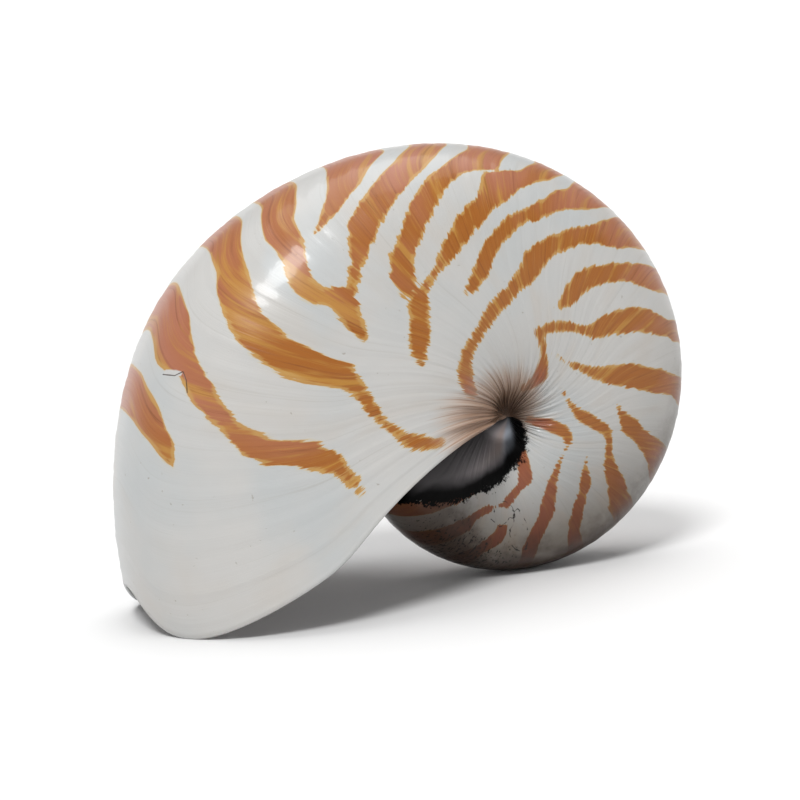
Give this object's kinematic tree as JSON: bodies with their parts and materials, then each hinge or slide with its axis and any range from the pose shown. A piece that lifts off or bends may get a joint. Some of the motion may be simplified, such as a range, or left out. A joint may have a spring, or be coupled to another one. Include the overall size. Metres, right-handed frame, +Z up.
{
  "type": "nautilus shell",
  "caption": "Whole coiled nautilus shell, off-white with flame-brown bands, standing on its lip lobes and outer wall, with an open body chamber.",
  "frame": {"origin": "centre of the bounding box in plan, on the ground that the shell stands on", "axes": "+Z up as it stands, +Y along the coiling axis away from the flank that is seen, -X towards the lip"},
  "size_m": [0.1612, 0.09, 0.1194],
  "materials": {
    "shell": "glossy off-white with flame-brown bands"
  },
  "bodies": {
    "root": {"shell": "shell"}
  },
  "joints": []
}
